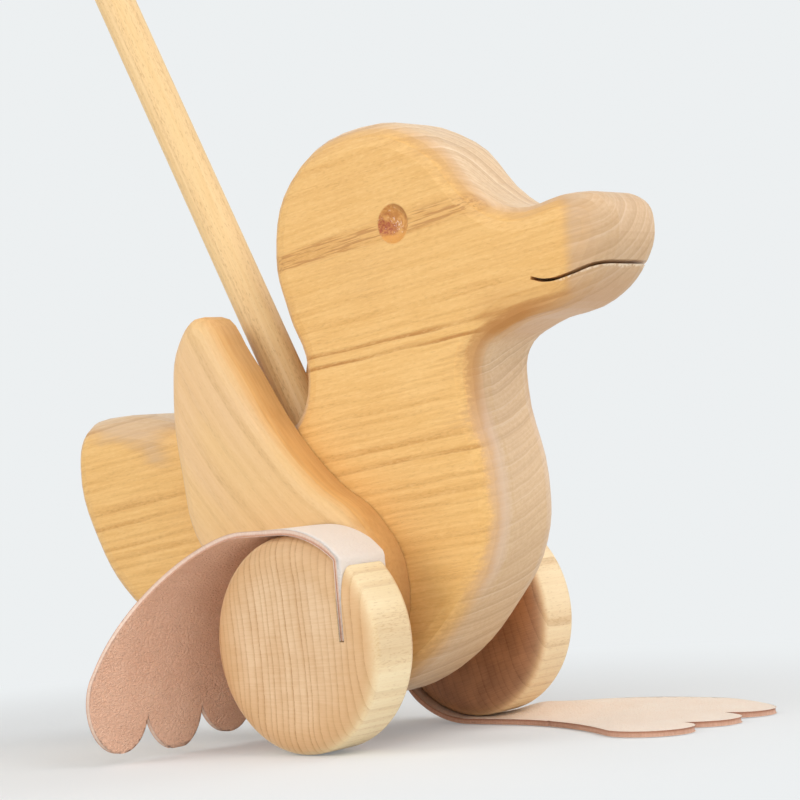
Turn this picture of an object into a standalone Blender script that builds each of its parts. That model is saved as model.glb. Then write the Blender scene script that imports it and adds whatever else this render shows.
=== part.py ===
"""Duck push toy: a plank-cut duck on two turned wheels with leather feet, pushed by a stick.

Every piece is drawn around the axle: x runs forward to the beak, y to the duck's left and z up.
"""

import math

import bmesh
import bpy
import numpy as np
from mathutils import Matrix, Vector

MM = 0.001

# Fits between pieces
TOUCH_GAP = 0.3 * MM
RUNNING_GAP = 0.4 * MM
SIDE_PLAY = 0.5 * MM
FOOT_CLEARANCE = 0.6 * MM

# Duck board
BODY_THICKNESS = 28 * MM
BODY_ROUND = 7 * MM
EYE_DIAMETER = 11 * MM
EYE_DEPTH = 2.6 * MM
EYE_CENTRE = (23.5 * MM, 113 * MM)
MOUTH_KERF = 0.9 * MM

# Wings
WING_THICKNESS = 12 * MM
WING_ROUND = 5 * MM
DOWEL_DIAMETER = 8 * MM
DOWEL_BITE = 7 * MM
DOWEL_CENTRE = (6 * MM, 19 * MM)
LEFT_WING_SWING = math.radians(16)

# Wheels and axle
WHEEL_DIAMETER = 60 * MM
WHEEL_THICKNESS = 19.4 * MM
WHEEL_FACE_ROUND = 5 * MM
WHEEL_BACK_ROUND = 2 * MM
AXLE_DIAMETER = 10 * MM
AXLE_BITE = 12 * MM
KERF_OFFSET = 20.5 * MM
KERF_FLOOR = 1 * MM

# Leather feet
FOOT_THICKNESS = 1.6 * MM
TONGUE_THICKNESS = 1.2 * MM
STRAP_INSET = 0.45 * MM
FOOT_LENGTH = 113.7 * MM
WEB_START = 43 * MM
TOE_PITCH = 20.5 * MM
TOE_LENGTH = 13 * MM
MIDDLE_TOE_LENGTH = 14.8 * MM
TOE_OVERLAP = 1.015
LIP_BEND = 1.2 * MM
HANG_GAP = 4 * MM
SHOULDER_RADIUS = 34 * MM
TOE_LIFT = 3 * MM
RIGHT_TWIST = math.radians(11)
LEFT_WRAP = math.radians(8)
LEFT_CURL = 3.1 * MM
TWIST_RUN = 20 * MM
TWIST_START = 3 * MM

# Push stick
STICK_DIAMETER = 12 * MM
STICK_LENGTH = 500 * MM
STICK_LEAN = math.radians(25.7)
STICK_FROM_AXLE = 30 * MM
STICK_CHAMFER = 1.5 * MM
KNOB_DIAMETER = 36 * MM
KNOB_BITE = 20 * MM

# Roundness of turned pieces and of the boards' edges
TURN_STEPS = 64
SMALL_TURN_STEPS = 24
EDGE_STEPS = 3
CURVE_STEPS = 5

# Sizes that follow from the ones above
WHEEL_RADIUS = WHEEL_DIAMETER / 2
WING_OUTER = BODY_THICKNESS / 2 + TOUCH_GAP + WING_THICKNESS
WHEEL_INNER = WING_OUTER + SIDE_PLAY
WHEEL_OUTER = WHEEL_INNER + WHEEL_THICKNESS
WHEEL_MID = (WHEEL_INNER + WHEEL_OUTER) / 2
KERF_WIDTH = TONGUE_THICKNESS + 2 * TOUCH_GAP
STRAP_WIDTH = WHEEL_THICKNESS - 2 * STRAP_INSET
TOE_WIDTH = TOE_OVERLAP * TOE_PITCH / 2
FOOT_SPLAY = BODY_THICKNESS / 2 + FOOT_CLEARANCE + TOE_PITCH + TOE_WIDTH - WHEEL_MID
STICK_AXIS = Vector((-math.sin(STICK_LEAN), 0, math.cos(STICK_LEAN)))

# The left wheel stands on its own foot, so the duck leans over to the right by the leather's thickness
LEFT_CONTACT = WHEEL_INNER + WHEEL_BACK_ROUND
RIGHT_CONTACT = WHEEL_OUTER - WHEEL_FACE_ROUND
LEAN = math.asin((FOOT_THICKNESS + TOUCH_GAP) / (LEFT_CONTACT + RIGHT_CONTACT))
AXLE_HEIGHT = (RIGHT_CONTACT * math.sin(LEAN) + (WHEEL_RADIUS - WHEEL_FACE_ROUND) * math.cos(LEAN)
               + WHEEL_FACE_ROUND)

# Duck outline in millimetres from the axle, clockwise from the crown as seen from the duck's right
DUCK_OUTLINE = [
    (11, 142.8), (36.6, 135.4), (54, 117.2), (64, 112.2), (82, 113.2), (92, 110.4),
    (94.4, 103.5), (90.9, 93.9), (79.4, 84.8), (60, 80.7), (49.2, 74.6), (47.5, 65),
    (51.8, 40), (49.3, 21.5), (37.4, 5.2), (17.8, -11), (-3, -18.8), (-24, -18.4),
    (-52, -9.5), (-78, -2.2), (-101, 10.6), (-115.7, 30.1), (-121.9, 54.5), (-116.5, 66.8),
    (-104, 69.5), (-78, 66.4), (-45, 56.5), (-23.5, 62), (-17.6, 76), (-23, 92),
    (-26.4, 110), (-17.5, 132),
]

# Wing outline in millimetres from the axle, clockwise from its upper tip
WING_OUTLINE = [
    (-46.8, 95), (-35.6, 82.6), (-19.2, 58.2), (-5.2, 43.5), (9.1, 32.9), (17.8, 16.5),
    (12.5, -3), (-4, -11.5), (-22, -3), (-42, 14.5), (-56, 30), (-59.8, 48), (-60.9, 72), (-56.2, 88.8),
]

# Mouth line in millimetres from the axle, from its inner end out past the beak
MOUTH_LINE = [(69.5, 92.2), (74, 91), (81.5, 91.7), (89, 93.6), (99, 94.6)]

WOOD_HONEY = (0.80, 0.50, 0.19)
WOOD_TAN = (0.80, 0.55, 0.27)
WOOD_PALE = (0.83, 0.63, 0.36)
LEATHER_ROSE = (0.62, 0.38, 0.29)


def clear_scene():
    """Remove every object, so that the script can run again."""
    for obj in list(bpy.data.objects):
        bpy.data.objects.remove(obj, do_unlink=True)


def new_collection(name):
    """A new collection in the scene."""
    group = bpy.data.collections.new(name)
    bpy.context.scene.collection.children.link(group)
    return group


def new_material(name, colour, roughness):
    """A plain Principled material."""
    material = bpy.data.materials.new(name)
    material.use_nodes = True
    shader = material.node_tree.nodes["Principled BSDF"]
    shader.inputs["Base Color"].default_value = (*colour, 1)
    shader.inputs["Roughness"].default_value = roughness
    shader.inputs["Metallic"].default_value = 0
    return material


def new_empty(name, parent=None):
    """An empty that carries other objects."""
    empty = bpy.data.objects.new(name, None)
    toy.objects.link(empty)
    empty.parent = parent
    return empty


def add_piece(name, mesh, parent, colour, roughness=0.55):
    """A finished piece in the toy's collection, shaded smooth, with its own material."""
    mesh.shade_smooth()
    mesh.set_sharp_from_angle(angle=math.radians(40))
    mesh.materials.append(new_material(name, colour, roughness))
    piece = bpy.data.objects.new(name, mesh)
    toy.objects.link(piece)
    piece.parent = parent
    return piece


def cut(piece, name, mesh, matrix=None):
    """Take a cutter's mesh out of a piece."""
    cutter = bpy.data.objects.new(name, mesh)
    cutters.objects.link(cutter)
    cutter.parent = piece.parent
    if matrix is not None:
        cutter.matrix_local = matrix
    cutter.display_type = "WIRE"
    cutter.hide_render = True
    boolean = piece.modifiers.new(name, "BOOLEAN")
    boolean.operation = "DIFFERENCE"
    boolean.solver = "EXACT"
    boolean.object = cutter


def mesh_of(obj):
    """The evaluated mesh of a helper object, welded and moved to where the object is; the helper goes."""
    bpy.context.view_layer.update()
    evaluated = obj.evaluated_get(bpy.context.evaluated_depsgraph_get())
    mesh = bpy.data.meshes.new_from_object(evaluated)
    mesh.transform(obj.matrix_world)
    form = bmesh.new()
    form.from_mesh(mesh)
    bmesh.ops.remove_doubles(form, verts=form.verts, dist=0.001 * MM)
    bmesh.ops.recalc_face_normals(form, faces=form.faces)
    form.to_mesh(mesh)
    form.free()
    bpy.data.objects.remove(obj, do_unlink=True)
    return mesh


def upright(points):
    """Outline points, in millimetres, as positions in metres."""
    return [Vector((x, z, 0)) * MM for x, z in points]


def curve_through(name, points, closed):
    """A flat curve object that runs smoothly through the points."""
    curve = bpy.data.curves.new(name, "CURVE")
    curve.dimensions = "2D"
    curve.resolution_u = CURVE_STEPS
    spline = curve.splines.new("BEZIER")
    spline.bezier_points.add(len(points) - 1)
    spline.use_cyclic_u = closed
    for knot, point in zip(spline.bezier_points, points):
        knot.co = point
        knot.handle_left_type = "AUTO"
        knot.handle_right_type = "AUTO"
    obj = bpy.data.objects.new(name, curve)
    bpy.context.scene.collection.objects.link(obj)
    obj.rotation_euler = (math.radians(90), 0, 0)
    return obj


def board_mesh(name, outline, thickness, rounding):
    """A board sawn to an outline, with both its edges rounded over."""
    obj = curve_through(name, upright(outline), closed=True)
    obj.data.fill_mode = "BOTH"
    obj.data.extrude = thickness / 2 - rounding
    obj.data.bevel_depth = rounding
    obj.data.bevel_resolution = EDGE_STEPS
    obj.data.offset = -rounding
    return mesh_of(obj)


def saw_cut_mesh(name, line, width, depth):
    """A thin blade along a line, for a saw cut right through a board."""
    obj = curve_through(name, upright(line), closed=False)
    obj.data.extrude = depth / 2
    blade = obj.modifiers.new("width", "SOLIDIFY")
    blade.thickness = width
    blade.offset = 0
    return mesh_of(obj)


def arc(centre, radius, start, end, steps):
    """Points along an arc, from one angle in degrees to another."""
    angles = [math.radians(start + (end - start) * i / steps) for i in range(steps + 1)]
    return [(centre[0] + radius * math.cos(a), centre[1] + radius * math.sin(a)) for a in angles]


def turned_mesh(name, profile, start, axis, steps=TURN_STEPS):
    """A turned piece: its profile, from the top down as (radius, height), swept round an axis."""
    mesh = bpy.data.meshes.new(name)
    edges = [(i, i + 1) for i in range(len(profile) - 1)]
    mesh.from_pydata([(radius, 0, height) for radius, height in profile], edges, [])
    obj = bpy.data.objects.new(name, mesh)
    bpy.context.scene.collection.objects.link(obj)
    screw = obj.modifiers.new("turn", "SCREW")
    screw.steps = steps
    screw.render_steps = steps
    screw.use_merge_vertices = True
    screw.merge_threshold = 0.001 * MM
    obj.matrix_world = Matrix.Translation(start) @ axis.to_track_quat("Z", "Y").to_matrix().to_4x4()
    return mesh_of(obj)


def rod_profile(radius, length, chamfer):
    """A rod from the top down, with its end corners broken."""
    return [(0, length), (radius - chamfer, length), (radius, length - chamfer),
            (radius, chamfer), (radius - chamfer, 0), (0, 0)]


def rod_mesh(name, radius, start, end, chamfer=0.0, steps=SMALL_TURN_STEPS):
    """A straight rod between two points."""
    run = end - start
    profile = rod_profile(radius, run.length, chamfer)
    if not chamfer:
        profile = [profile[0], profile[1], profile[4], profile[5]]
    return turned_mesh(name, profile, start, run.normalized(), steps)


def box_mesh(name, low, high):
    """A box between two corners."""
    form = bmesh.new()
    bmesh.ops.create_cube(form, size=1)
    size = high - low
    bmesh.ops.scale(form, vec=size, verts=form.verts)
    bmesh.ops.translate(form, vec=(low + high) / 2, verts=form.verts)
    mesh = bpy.data.meshes.new(name)
    form.to_mesh(mesh)
    form.free()
    return mesh


def across(x, z, y_from, y_to, radius, name, steps=SMALL_TURN_STEPS):
    """A rod that lies across the toy, along y."""
    return rod_mesh(name, radius, Vector((x, y_from, z)), Vector((x, y_to, z)), steps=steps)


def make_body(carrier):
    """The duck board with its eyes, mouth, stick socket and bores."""
    mesh = board_mesh("duck_body", DUCK_OUTLINE, BODY_THICKNESS, BODY_ROUND)
    body = add_piece("duck_body", mesh, carrier, WOOD_HONEY)
    reach = BODY_THICKNESS

    # A ball sunk into each side leaves a dished eye
    eye_radius = EYE_DIAMETER / 2
    ball = (eye_radius ** 2 + EYE_DEPTH ** 2) / (2 * EYE_DEPTH)
    for name, side in (("right_eye", -1), ("left_eye", 1)):
        form = bmesh.new()
        bmesh.ops.create_uvsphere(form, u_segments=SMALL_TURN_STEPS, v_segments=24, radius=ball)
        bmesh.ops.rotate(form, verts=form.verts, matrix=Matrix.Rotation(math.radians(90), 3, "X"))
        eye = bpy.data.meshes.new(name)
        form.to_mesh(eye)
        form.free()
        out = side * (BODY_THICKNESS / 2 + ball - EYE_DEPTH)
        cut(body, name, eye, Matrix.Translation((EYE_CENTRE[0], out, EYE_CENTRE[1])))

    cut(body, "mouth", saw_cut_mesh("mouth", MOUTH_LINE, MOUTH_KERF, 2 * reach))
    cut(body, "axle_bore", across(0, 0, -reach, reach, AXLE_DIAMETER / 2 + RUNNING_GAP, "axle_bore"))
    dowel_bore = across(*DOWEL_CENTRE, -reach, reach, DOWEL_DIAMETER / 2 + TOUCH_GAP, "dowel_bore")
    cut(body, "dowel_bore", dowel_bore)
    floor = STICK_AXIS * (STICK_FROM_AXLE - TOUCH_GAP)
    mouth = STICK_AXIS * (STICK_FROM_AXLE + STICK_LENGTH)
    cut(body, "stick_socket", rod_mesh("stick_socket", STICK_DIAMETER / 2 + TOUCH_GAP, floor, mouth))


def make_wing(name, side, swing, carrier):
    """A wing: half of a board of twice its thickness, so that only its outer edge is rounded.

    It is swung forward about the axle before it is fixed to the body.
    """
    mesh = board_mesh(name, WING_OUTLINE, 2 * WING_THICKNESS, WING_ROUND)
    form = bmesh.new()
    form.from_mesh(mesh)
    everything = form.verts[:] + form.edges[:] + form.faces[:]
    sliced = bmesh.ops.bisect_plane(form, geom=everything, plane_co=(0, 0, 0), plane_no=(0, side, 0),
                                    clear_inner=True)
    rim = [item for item in sliced["geom_cut"] if isinstance(item, bmesh.types.BMEdge)]
    bmesh.ops.edgeloop_fill(form, edges=rim)
    bmesh.ops.translate(form, vec=(0, side * (BODY_THICKNESS / 2 + TOUCH_GAP), 0), verts=form.verts)
    bmesh.ops.rotate(form, matrix=Matrix.Rotation(swing, 3, "Y"), verts=form.verts)
    bmesh.ops.recalc_face_normals(form, faces=form.faces)
    form.to_mesh(mesh)
    form.free()
    wing = add_piece(name, mesh, carrier, WOOD_TAN)
    reach = side * 2 * WING_OUTER
    axle_bore = across(0, 0, 0, reach, AXLE_DIAMETER / 2 + RUNNING_GAP, name + "_axle_bore")
    cut(wing, name + "_axle_bore", axle_bore)
    floor = side * (BODY_THICKNESS / 2 + DOWEL_BITE + 2 * TOUCH_GAP)
    dowel_hole = across(*DOWEL_CENTRE, 0, floor, DOWEL_DIAMETER / 2 + TOUCH_GAP, name + "_dowel_hole")
    cut(wing, name + "_dowel_hole", dowel_hole)


def make_stick(carrier):
    """The push stick in its socket, with a ball on its top end."""
    start = STICK_AXIS * STICK_FROM_AXLE
    top = start + STICK_AXIS * STICK_LENGTH
    stick = rod_mesh("push_stick", STICK_DIAMETER / 2, start, top, STICK_CHAMFER)
    add_piece("push_stick", stick, carrier, WOOD_PALE)

    # The ball is flat where the stick goes in
    radius = KNOB_DIAMETER / 2
    flat = math.degrees(math.asin(1.3 * STICK_DIAMETER / KNOB_DIAMETER))
    rim = arc((0, 0), radius, 90, flat - 90, 14)
    profile = [(0, radius)] + rim[1:] + [(0, rim[-1][1])]
    centre = top - STICK_AXIS * (KNOB_BITE + rim[-1][1])
    knob_mesh = turned_mesh("stick_knob", profile, centre, STICK_AXIS, 32)
    knob = add_piece("stick_knob", knob_mesh, carrier, WOOD_PALE)
    bore = rod_mesh("knob_bore", STICK_DIAMETER / 2 + TOUCH_GAP, start, top + STICK_AXIS * TOUCH_GAP)
    cut(knob, "knob_bore", bore)


def wheel_turn(side):
    """The left wheel and its foot stand a little more than half a turn from the right ones."""
    return Matrix.Rotation(math.pi + LEFT_WRAP if side > 0 else 0, 4, "Y")


def make_wheel(name, side, carrier):
    """A turned wheel with a blind axle bore and a kerf for the foot's tongue."""
    corner = (WHEEL_RADIUS - WHEEL_FACE_ROUND, WHEEL_THICKNESS - WHEEL_FACE_ROUND)
    face = arc(corner, WHEEL_FACE_ROUND, 90, 0, 5)
    back = arc((WHEEL_RADIUS - WHEEL_BACK_ROUND, WHEEL_BACK_ROUND), WHEEL_BACK_ROUND, 0, -90, 3)
    profile = [(0, WHEEL_THICKNESS)] + face + back + [(0, 0)]
    mesh = turned_mesh(name, profile, Vector((0, side * WHEEL_INNER, 0)), Vector((0, side, 0)))
    wheel = add_piece(name, mesh, carrier, WOOD_PALE)
    floor = side * (WHEEL_INNER + AXLE_BITE + TOUCH_GAP)
    bore = across(0, 0, 0, floor, AXLE_DIAMETER / 2 + TOUCH_GAP, name + "_bore")
    cut(wheel, name + "_bore", bore)
    low = Vector((KERF_OFFSET - KERF_WIDTH / 2, -2 * WHEEL_OUTER, KERF_FLOOR))
    high = Vector((KERF_OFFSET + KERF_WIDTH / 2, 2 * WHEEL_OUTER, 2 * WHEEL_RADIUS))
    cut(wheel, name + "_kerf", box_mesh(name + "_kerf", low, high), wheel_turn(side))


def toe(length, middle, start, end, steps):
    """Points round a toe, which is half an oval on the ball of the foot."""
    ball = FOOT_LENGTH - MIDDLE_TOE_LENGTH
    return [(ball + length * c, middle + TOE_WIDTH * s) for c, s in arc((0, 0), 1, start, end, steps)]


def foot_outline():
    """Half of a foot's pattern, cut from flat leather: (along, across) from the tongue to the middle toe."""
    strap = STRAP_WIDTH / 2
    tongue = KERF_FLOOR + TOUCH_GAP - LIP_CENTRE[1]

    # The toes meet in notches, and the web opens out to them along a curve
    notch = math.degrees(math.acos(1 / TOE_OVERLAP))
    outer = toe(TOE_LENGTH, TOE_PITCH, 130, notch - 90, 14)
    middle = toe(MIDDLE_TOE_LENGTH, 0, 90 - notch, 0, 6)
    run = outer[0][0] - WEB_START
    rise = outer[0][1] - strap
    web = [(WEB_START + run * i / 8, strap + rise * (i / 8) ** 1.8) for i in range(8)]
    return [(tongue, 0), (tongue, strap), (0, strap)] + web + outer + middle[1:]


def foot_path(hanging):
    """Inner face of a foot's leather in the plane of its wheel, as positions and distances along it.

    The leather stands up out of the kerf, bends over its lip and follows the rim until it leaves it.
    The distance at which it leaves the rim comes third.
    """
    rim = WHEEL_RADIUS + TOUCH_GAP
    lip = math.atan2(LIP_CENTRE[1], LIP_CENTRE[0])
    leave = math.pi / 2 + (0 if hanging else LEFT_WRAP)
    wrapped = LIP_BEND * lip + rim * (leave - lip)
    path = [(LIP_CENTRE[0] + LIP_BEND, KERF_FLOOR + TOUCH_GAP)]
    path += arc(LIP_CENTRE, LIP_BEND, 0, math.degrees(lip), 4)
    path += arc((0, 0), rim, math.degrees(lip), math.degrees(leave), 8)[1:]
    if hanging:
        # It runs off level, curves over behind the wheel and hangs down, clear of the floor. Its rolled-in
        # half reaches back towards the wheel
        rest = FOOT_LENGTH - wrapped - math.pi / 2 * SHOULDER_RADIUS
        wheel_back = WHEEL_RADIUS + 2 * STRAP_WIDTH * math.tan(RIGHT_TWIST)
        clear_of_wheel = wheel_back + HANG_GAP - SHOULDER_RADIUS
        run = max(clear_of_wheel, rest - (rim - SHOULDER_RADIUS + AXLE_HEIGHT - TOE_LIFT))
        drop = rest - run
        path += [(-run * i / 4, rim) for i in range(1, 4)]
        path += arc((-run, rim - SHOULDER_RADIUS), SHOULDER_RADIUS, 90, 180, 14)
        path.append((path[-1][0], path[-1][1] - drop))
    else:
        # It runs straight on along the floor
        off = np.array(path[-1])
        ahead = np.array((-math.sin(leave), math.cos(leave)))
        path += [off + ahead * (FOOT_LENGTH - wrapped) * i / 10 for i in range(1, 11)]
    path = np.array(path)
    along = np.concatenate(([0], np.cumsum(np.hypot(*np.diff(path, axis=0).T))))
    return path, along - along[1], wrapped


def smooth(value):
    """Ease from 0 to 1."""
    value = np.clip(value, 0, 1)
    return value * value * (3 - 2 * value)


def make_foot(name, side, carrier):
    """A leather foot: cut flat, sliced across, then bent along its path."""
    hanging = side < 0
    half = foot_outline()
    outline = half + [(s, -w) for s, w in reversed(half[1:-1])]
    curve = bpy.data.curves.new(name, "CURVE")
    curve.dimensions = "2D"
    curve.fill_mode = "BOTH"
    curve.extrude = FOOT_THICKNESS / 2
    spline = curve.splines.new("POLY")
    spline.points.add(len(outline) - 1)
    spline.use_cyclic_u = True
    for knot, (s, w) in zip(spline.points, outline):
        knot.co = (s, w, 0, 1)
    obj = bpy.data.objects.new(name, curve)
    bpy.context.scene.collection.objects.link(obj)
    mesh = mesh_of(obj)

    path, along, wrapped = foot_path(hanging)
    form = bmesh.new()
    form.from_mesh(mesh)
    slices = [((s, 0, 0), (1, 0, 0)) for s in along[1:-1]]
    slices += [((0, w * STRAP_WIDTH / 2, 0), (0, 1, 0)) for w in (-1, 0, 1)]
    for place, normal in slices:
        everything = form.verts[:] + form.edges[:] + form.faces[:]
        bmesh.ops.bisect_plane(form, geom=everything, plane_co=place, plane_no=normal)
    bmesh.ops.remove_doubles(form, verts=form.verts, dist=0.001 * MM)

    steps = np.diff(path, axis=0)
    steps /= np.hypot(*steps.T)[:, None]
    tangents = np.concatenate((steps[:1], steps[:-1] + steps[1:], steps[-1:]))
    tangents /= np.hypot(*tangents.T)[:, None]
    splay_end = FOOT_LENGTH - 2 * TOE_LENGTH
    web = FOOT_LENGTH - WEB_START
    turn = wheel_turn(side)
    for vert in form.verts:
        s, w, face = vert.co
        x, z, tx, tz = (np.interp(s, along, column) for column in (*path.T, *tangents.T))
        skive = smooth(s / (4 * FOOT_THICKNESS))
        thickness = TONGUE_THICKNESS + (FOOT_THICKNESS - TONGUE_THICKNESS) * skive
        lift = thickness if face > 0 else 0
        splay = 0
        if hanging:
            # The flap spreads outwards, and its inner half is rolled in towards the wheel
            spread = smooth((s - WEB_START) / (splay_end - WEB_START))
            splay = FOOT_SPLAY * spread
            roll = smooth((s - wrapped - TWIST_START) / TWIST_RUN) * (1 - 0.9 * spread)
            lift -= max(0, STRAP_WIDTH / 2 - w) * math.tan(RIGHT_TWIST) * roll
        y = side * (WHEEL_MID + splay) - w
        place = turn @ Vector((x + tz * lift, y, z - tx * lift))
        if not hanging:
            # The sole lies on the floor, which is tilted as seen from the leaning axle, and the strap's
            # outer edge curls up off it ahead of the wheel
            place.z -= (y - LEFT_CONTACT) * math.tan(LEAN) * smooth(s / wrapped)
            out = max(0, (y - WHEEL_MID) / STRAP_WIDTH + 0.5)
            curl = smooth((s - wrapped + TWIST_START) / TWIST_RUN)
            curl *= 1 - smooth(1.2 * (s - WEB_START) / web - 0.2)
            place.z += LEFT_CURL * (min(out, 1) ** 2 + max(0, out - 1)) * curl
        vert.co = place
    bmesh.ops.triangulate(form, faces=form.faces)
    bmesh.ops.recalc_face_normals(form, faces=form.faces)
    form.to_mesh(mesh)
    form.free()
    add_piece(name, mesh, carrier, LEATHER_ROSE, 0.7)


def centre_on_floor(root):
    """Put the middle of the toy's box over the origin, with its lowest point on the floor."""
    bpy.context.view_layer.update()
    graph = bpy.context.evaluated_depsgraph_get()
    corners = []
    for piece in toy.objects:
        if piece.type == "MESH":
            evaluated = piece.evaluated_get(graph)
            corners += [evaluated.matrix_world @ vert.co for vert in evaluated.data.vertices]
    corners = np.array(corners)
    low, high = corners.min(axis=0), corners.max(axis=0)
    root.location = (-(low[0] + high[0]) / 2, -(low[1] + high[1]) / 2, -low[2])
    print("size in mm", np.round((high - low) / MM, 1), "root at", np.round(np.array(root.location) / MM, 3))
    print("lean in degrees", round(math.degrees(LEAN), 4), "axle height in mm", round(AXLE_HEIGHT / MM, 3))


# Where the leather bends over the kerf's rear lip, from inside the rim
lip_x = KERF_OFFSET - KERF_WIDTH / 2 + TOUCH_GAP - LIP_BEND
lip_reach = WHEEL_RADIUS + TOUCH_GAP - LIP_BEND
LIP_CENTRE = (lip_x, math.sqrt(lip_reach ** 2 - lip_x ** 2))

clear_scene()
toy = new_collection("duck push toy")
cutters = new_collection("cutters")

root_empty = new_empty("toy_root")
lean_empty = new_empty("leaning_duck", root_empty)
lean_empty.location = (0, 0, AXLE_HEIGHT)
lean_empty.rotation_euler = (LEAN, 0, 0)
axle_empty = new_empty("axle_line", lean_empty)

make_body(lean_empty)
make_wing("right_wing", -1, 0, lean_empty)
make_wing("left_wing", 1, LEFT_WING_SWING, lean_empty)
dowel_end = BODY_THICKNESS / 2 + TOUCH_GAP + DOWEL_BITE
dowel = across(*DOWEL_CENTRE, -dowel_end, dowel_end, DOWEL_DIAMETER / 2, "wing_dowel")
add_piece("wing_dowel", dowel, lean_empty, WOOD_PALE)
make_stick(lean_empty)

axle_end = WHEEL_INNER + AXLE_BITE
axle_mesh = across(0, 0, -axle_end, axle_end, AXLE_DIAMETER / 2, "axle")
add_piece("axle", axle_mesh, axle_empty, WOOD_PALE)
for part_side, label in ((-1, "right"), (1, "left")):
    make_wheel(label + "_wheel", part_side, axle_empty)
    make_foot(label + "_foot", part_side, axle_empty)

centre_on_floor(root_empty)
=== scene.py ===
# %% [markdown]
# # Duck push toy
# A duck sawn from a thick board rolls on two turned wheels. A leather foot is glued into a saw cut in each
# wheel, so the feet flap round and slap the floor as the toy is pushed along by its stick.
# The packed model gives every wooden piece its shape and place. This lesson adds what it lacks: the wood's
# figure, the leather feet in full, the light and the camera.

# %% Load the packed model
import math

import bmesh
import bpy
import numpy as np
from mathutils import Matrix, Vector


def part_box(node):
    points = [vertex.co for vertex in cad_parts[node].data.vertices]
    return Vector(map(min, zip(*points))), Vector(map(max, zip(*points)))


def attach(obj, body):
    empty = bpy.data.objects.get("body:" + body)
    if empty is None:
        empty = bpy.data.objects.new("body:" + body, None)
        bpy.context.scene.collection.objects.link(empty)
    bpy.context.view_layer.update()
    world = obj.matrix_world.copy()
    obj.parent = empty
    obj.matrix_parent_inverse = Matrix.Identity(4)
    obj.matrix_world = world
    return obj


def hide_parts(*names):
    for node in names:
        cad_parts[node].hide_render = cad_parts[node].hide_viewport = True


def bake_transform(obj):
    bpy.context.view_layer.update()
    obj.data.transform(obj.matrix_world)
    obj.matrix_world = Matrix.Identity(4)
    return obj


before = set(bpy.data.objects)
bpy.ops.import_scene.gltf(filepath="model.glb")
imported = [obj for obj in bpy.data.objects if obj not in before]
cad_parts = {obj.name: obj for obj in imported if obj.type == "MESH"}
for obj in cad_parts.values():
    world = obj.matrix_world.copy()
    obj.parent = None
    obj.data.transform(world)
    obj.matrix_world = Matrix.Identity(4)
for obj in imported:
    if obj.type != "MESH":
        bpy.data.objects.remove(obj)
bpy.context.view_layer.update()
scene = bpy.context.scene
scene.view_settings.view_transform = "Standard"
print("pieces of the packed model:", ", ".join(sorted(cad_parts)))

# %% [markdown]
# ## The duck's own frame
# The toy leans a little to its right, because its left wheel stands on its own leather. Everything on it is
# easier to describe upright and measured from the middle of the axle, in millimetres: x forward to the
# beak, y to the duck's left and z up. Two helpers turn such a point or direction into the model's frame.

# %% Points and directions on the duck
MM = 0.001
LEAN = math.radians(1.5554)
AXLE = Vector((75.896, 3.869, 31.107)) * MM
TILT = Matrix.Rotation(LEAN, 3, "X")


def on_duck(x, y, z):
    """A point given in millimetres from the axle, in the model's frame."""
    return AXLE + TILT @ Vector((x, y, z)) * MM


def toward(x, y, z):
    """A direction on the duck, as a unit vector in the model's frame."""
    return TILT @ Vector((x, y, z)).normalized()


low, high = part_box("axle")
print("axle's middle is off its CAD place by", round(((low + high) / 2 - AXLE).length / MM, 3), "mm")

# %% [markdown]
# ## Camera
# The picture is taken from low down in front of the duck's right side, with a long lens, and the camera is
# rolled a little. Blender's camera looks along its own -Z with +Y up, so its three axes are worked out from
# the angles and become the columns of its rotation.

# %% Place the camera
ROUND = math.radians(41.336)
UPWARD = math.radians(1.692)
ROLL = math.radians(-5.147)
CAMERA_PLACE = (413.092, -460.478, 46.724)
FOCAL_PIXELS = 2148.4
PICTURE_PIXELS = 800
SENSOR_WIDTH = 36
NEAREST = 20 * MM

back = Vector((math.sin(ROUND) * math.cos(UPWARD), -math.cos(ROUND) * math.cos(UPWARD), -math.sin(UPWARD)))
right = Vector((math.cos(ROUND), math.sin(ROUND), 0))
up = back.cross(right)
turned_right = right * math.cos(ROLL) + up * math.sin(ROLL)
turned_up = up * math.cos(ROLL) - right * math.sin(ROLL)

camera = bpy.data.objects.new("camera", bpy.data.cameras.new("camera"))
scene.collection.objects.link(camera)
scene.camera = camera
camera.data.sensor_width = SENSOR_WIDTH
camera.data.lens = SENSOR_WIDTH * FOCAL_PIXELS / PICTURE_PIXELS
camera.data.clip_start = NEAREST
turn = TILT @ Matrix((turned_right, turned_up, back)).transposed()
camera.matrix_world = Matrix.Translation(on_duck(*CAMERA_PLACE)) @ turn.to_4x4()
print("camera at", [round(v, 3) for v in camera.location], "lens", round(camera.data.lens, 1), "mm")

# %% [markdown]
# ## A small language for materials
# A material is a graph of nodes. Written one node at a time it is long and hard to read, so one class wraps
# an output socket and lets Python's own operators add the nodes: `1 - mask` adds a Math node, and a sum on
# a vector adds a Vector Math node. Every other node comes from `node`, which takes its type, its settings
# and what goes into its sockets.

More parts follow.
